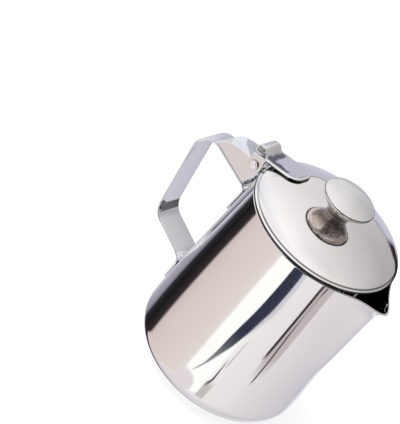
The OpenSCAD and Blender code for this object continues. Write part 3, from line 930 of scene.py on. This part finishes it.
nose = -leaf_s(lid_r - leaf_reach)
tail = leaf_s(-pin_x)
back = leaf_s(-pin_x + ear_w / 2 + leaf_t) - leaf_t / 2
front_s = back - thumb_l + leaf_t
plan = arc((nose - nose_r, nose_r - leaf_side), nose_r, -90, 0)
plan += arc((nose - nose_r, leaf_side - nose_r), nose_r, 0, 90)
plan += [Vector((-tail, leaf_side)), Vector((-tail, -leaf_side))]
roll_line = bent([
    (roll_lap - tail, leaf_t / 2), (-back, leaf_t / 2), (-back, thumb_h + leaf_t / 2),
    (-front_s - slope_run, thumb_h + leaf_t / 2), (slope_foot - front_s, leaf_t / 2),
    (toe_end - front_s, toe_share * leaf_t)],
    [thumb_bend_r, slope_top_r, slope_foot_r, thumb_bend_r], roll_steps)
roll_strip = beside(roll_line, leaf_t / 2) + list(reversed(beside(roll_line, -leaf_t / 2)))
ear = [leaf_xz(leaf_s(-pin_x + ear_w / 2), leaf_t * ear_top_share)]
ear += arc((pin_x, pin_z), ear_w / 2, 180, 360)
ear += [leaf_xz(leaf_s(-pin_x - ear_w / 2), leaf_t * ear_top_share)]
ear_y = ear_in + leaf_t / 2
leaf = sheets("hinge_leaf_thumb", [
    (cut_sheet(plan, plate_t, plate_edge, plate_crown), lambda s, y, w: on_leaf(s, y, w + plate_t / 2)),
    (cut_sheet(roll_strip, thumb_w, stamped_edge), lambda s, n, w: on_leaf(s, w, n)),
    (cut_sheet(ear, leaf_t, stamped_edge), lambda x, z, w: (x, ear_y + w, z)),
    (cut_sheet(ear, leaf_t, stamped_edge), lambda x, z, w: (x, -ear_y + w, z))])
leaf_steel = steel("polished_leaf", (0.85, 0.85, 0.86), roughness=0.06, smudges=0.04, hairs=0.04,
                   wave_size=200, wave_height=0.00002)
# Painted reflection and shade: a dark blue patch along the foot of the loop, with an edge that noise has
# moved about, stands in for the dark reflection and shade where the plate meets the loop
tree = leaf_steel.node_tree
turned = put(tree, "ShaderNodeMapping", [("Location", (-seat_x, 0, -seat_z))])
tree.links.new(put(tree, "ShaderNodeTexCoord").outputs["Object"], turned.inputs["Vector"])
laid_flat = put(tree, "ShaderNodeVectorRotate",
                [("Vector", turned.outputs[0]), ("Axis", (0, 1, 0)), ("Angle", leaf_a)],
                rotation_type="AXIS_ANGLE").outputs["Vector"]
cloud = put(tree, "ShaderNodeTexNoise",
            [("Vector", laid_flat), ("Scale", 320.0), ("Detail", 3.0)]).outputs["Color"]
stray = put(tree, "ShaderNodeVectorMath", [(0, cloud), (1, (0.5, 0.5, 0.5))],
            operation="SUBTRACT").outputs[0]
stray = put(tree, "ShaderNodeVectorMath", [(0, stray), (1, (shade_stray, shade_stray, shade_stray))],
            operation="MULTIPLY").outputs[0]
spot = put(tree, "ShaderNodeVectorMath", [(0, laid_flat), (1, stray)], operation="ADD").outputs[0]
along_leaf, across_leaf, above_leaf = put(tree, "ShaderNodeSeparateXYZ", [(0, spot)]).outputs
foot_shade = window(tree, along_leaf, shade_from - front_s, shade_to - front_s, shade_soft)
foot_shade = sums(tree, "MULTIPLY", foot_shade, window(tree, across_leaf, shade_near_y, shade_far_y, shade_soft))
side_shade = window(tree, along_leaf, side_from - front_s, side_to, side_soft)
side_shade = sums(tree, "MULTIPLY", side_shade, window(tree, across_leaf, shade_near_y, side_in_y, shade_soft))
painted_loop_shade = sums(tree, "MAXIMUM", foot_shade, side_shade)
painted_loop_shade = sums(tree, "MULTIPLY", painted_loop_shade, between(tree, above_leaf, shade_low, shade_high))
stain(leaf_steel, sums(tree, "MULTIPLY", painted_loop_shade, 0.88), (0.075, 0.078, 0.13))
# Painted shade: the lower part of the plate's edge and its underside are darkened, standing in for the shadow
# under the plate
exact = put(tree, "ShaderNodeSeparateXYZ", [(0, laid_flat)]).outputs
painted_edge_shade = sums(tree, "MULTIPLY", between(tree, exact[2], shade_top_end, shade_top),
           between(tree, exact[2], shade_foot_end, shade_foot))
ear_front = -leaf_s(-pin_x - ear_w / 2)
painted_edge_shade = sums(tree, "MULTIPLY", painted_edge_shade, between(tree, exact[0], ear_front, ear_front + shade_fade))
stain(leaf_steel, sums(tree, "MULTIPLY", painted_edge_shade, 0.9), (0.03, 0.03, 0.03))
leaf.data.materials.append(leaf_steel)
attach(leaf, "lid")
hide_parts("hinge_leaf")

# The head of the knob: a cap pressed from 0.8 mm sheet with a low crown and a rim band, drawn
# over the wide end of the trumpet and finished a little duller than the lid.
knob_r = 0.0127
knob_h = 0.0120
knob_t = 0.0008
waist_r = 0.0056
crown_h = 0.0016
crown_share = 0.935
band_h = 0.0013
shoulder_r = 0.0007
band_round = 0.00035
cap_steps = 24
under_steps = 12
# The painted dark line at the shoulder and the painted shade on the lower edge: where they begin, end and
# fade
shoulder_line_below = 0.0003
shoulder_line_above = 0.00002
shoulder_line_soft = 0.00006
band_shade_full = 0.00028
band_shade_end = 0.00042
knob_z = dome_top + knob_h
shoulder_z = knob_z - crown_h
band_z = shoulder_z - band_h
cap_under = knob_z - knob_t
inner_r = knob_r - knob_t


def crown_point(r, top_z):
    """The point at the radius r of a crown whose middle is at top_z."""
    return (r, top_z - crown_h * (r / knob_r) ** 2)


crown_edge = crown_point(knob_r * crown_share, knob_z)
crown = [crown_point(knob_r * crown_share * k / cap_steps, knob_z) for k in range(cap_steps + 1)]
shoulder = fillet((knob_r, shoulder_z), crown_edge, (knob_r, band_z), shoulder_r)
rim_edge = fillet((knob_r, band_z), (knob_r, shoulder_z), (inner_r, band_z), band_round)
rim_edge += fillet((inner_r, band_z), (knob_r, band_z), (inner_r, knob_z), band_round)
under_crown = [crown_point(inner_r * k / under_steps, cap_under) for k in range(under_steps, -1, -1)]
cap = lathe("knob_head", list(reversed(crown + shoulder + rim_edge + under_crown)), steps=160)
satin_knob = steel("satin_knob", (0.87, 0.87, 0.875), roughness=0.11, smudges=0.04, hairs=0.05,
                   wave_size=120, wave_height=0.00002)
# Painted reflection and shade: a dark line is painted round the shoulder, standing in for a dark reflection
# in its rounding, and the lower edge of the band is darkened as painted shade
tree = satin_knob.node_tree
place = places(tree)
painted_shoulder_line = window(tree, place[2], shoulder_z - shoulder_line_below, shoulder_z + shoulder_line_above, shoulder_line_soft)
painted_band_shade = between(tree, place[2], band_z + band_shade_end, band_z + band_shade_full)
stain(satin_knob, sums(tree, "MULTIPLY", sums(tree, "MAXIMUM", painted_shoulder_line, painted_band_shade), 0.88), (0.05, 0.045, 0.045))
cap.data.materials.append(satin_knob)
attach(cap, "lid")
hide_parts("knob_cap")

# The trumpet of the knob: a turned sleeve that stands on the lid as a short neck and opens
# upwards in a bowl that fills the head.
flare_share = 2.4
flare_steps = 48
neck_dark = 0.0026
neck_clear = 0.0064
neck_z = dome_z(waist_r - knob_t) + seat_gap
bowl_z = cap_under - crown_h - seat_gap
bowl_r = inner_r - seat_gap
flare = [(waist_r + (bowl_r - waist_r) * math.sin(math.pi / 2 * s) ** flare_share,
          neck_z + (bowl_z - neck_z) * s)
         for s in (k / flare_steps for k in range(flare_steps + 1))]
sleeve = [(r - knob_t, z) for r, z in reversed(flare)]
trumpet = lathe("knob_trumpet", list(reversed(flare + sleeve)), steps=128, closed=True)
# Painted reflection: the warm brownish base colour and the half metallic stand in for the warm dark
# reflections seen in the bowl
painted_reflection_steel = steel("painted_reflection_steel", (0.86, 0.78, 0.73), roughness=0.16, smudges=0.05, hairs=0.04,
                     wave_size=120, wave_height=0.00002, metallic=0.5)
# Painted reflections and shade: brown and tan clouds stand in for the dark reflections and pale highlights in
# the bowl, and the neck is darkened as painted shade
tree = painted_reflection_steel.node_tree
where = put(tree, "ShaderNodeTexCoord").outputs["Object"]
cloud = put(tree, "ShaderNodeTexNoise",
            [("Vector", where), ("Scale", 210.0), ("Detail", 1.5), ("Roughness", 0.45)]).outputs["Fac"]
stain(painted_reflection_steel, between(tree, cloud, 0.52, 0.66, 0, 0.85, soft=True), (0.88, 0.77, 0.60))
stain(painted_reflection_steel, between(tree, cloud, 0.48, 0.36, 0, 0.7, soft=True), (0.19, 0.165, 0.145))
painted_neck_shade = between(tree, places(tree)[2], neck_z + neck_clear, neck_z + neck_dark, 0, 0.8, soft=True)
stain(painted_reflection_steel, painted_neck_shade, (0.11, 0.085, 0.07))
trumpet.data.materials.append(painted_reflection_steel)
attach(trumpet, "lid")
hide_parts("knob_skirt")

# The stud, the screw and the washer that hold the knob: plain turned steel from the bar,
# unpolished, with the fine rings of the tool. Only the screw and the washer show, under the lid.
turned_steel = bare_material("turned_steel")
tree = turned_steel.node_tree
where = put(tree, "ShaderNodeTexCoord").outputs["Object"]
tool_rings = put(tree, "ShaderNodeTexWave",
                 [("Vector", where), ("Scale", 900.0), ("Distortion", 0.6), ("Detail", 1.0)],
                 wave_type="RINGS", rings_direction="Z")
wear = put(tree, "ShaderNodeGroup",
           [("Roughness", 0.28), ("Smudges", 0.12), ("Hairs", 0.08), ("Color", (0.62, 0.62, 0.63, 1))],
           node_tree=worn)
bump = put(tree, "ShaderNodeBump",
           [("Height", tool_rings.outputs["Fac"]), ("Strength", 0.35), ("Distance", 0.00002)])
metal = put(tree, "ShaderNodeBsdfPrincipled",
            [("Metallic", 1.0), ("Base Color", wear.outputs["Color"]),
             ("Roughness", wear.outputs["Roughness"]), ("Normal", bump.outputs[0])])
put(tree, "ShaderNodeOutputMaterial", [("Surface", metal.outputs[0])])
for node in ("knob_stud", "knob_screw", "knob_washer"):
    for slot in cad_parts[node].material_slots:
        slot.material = turned_steel
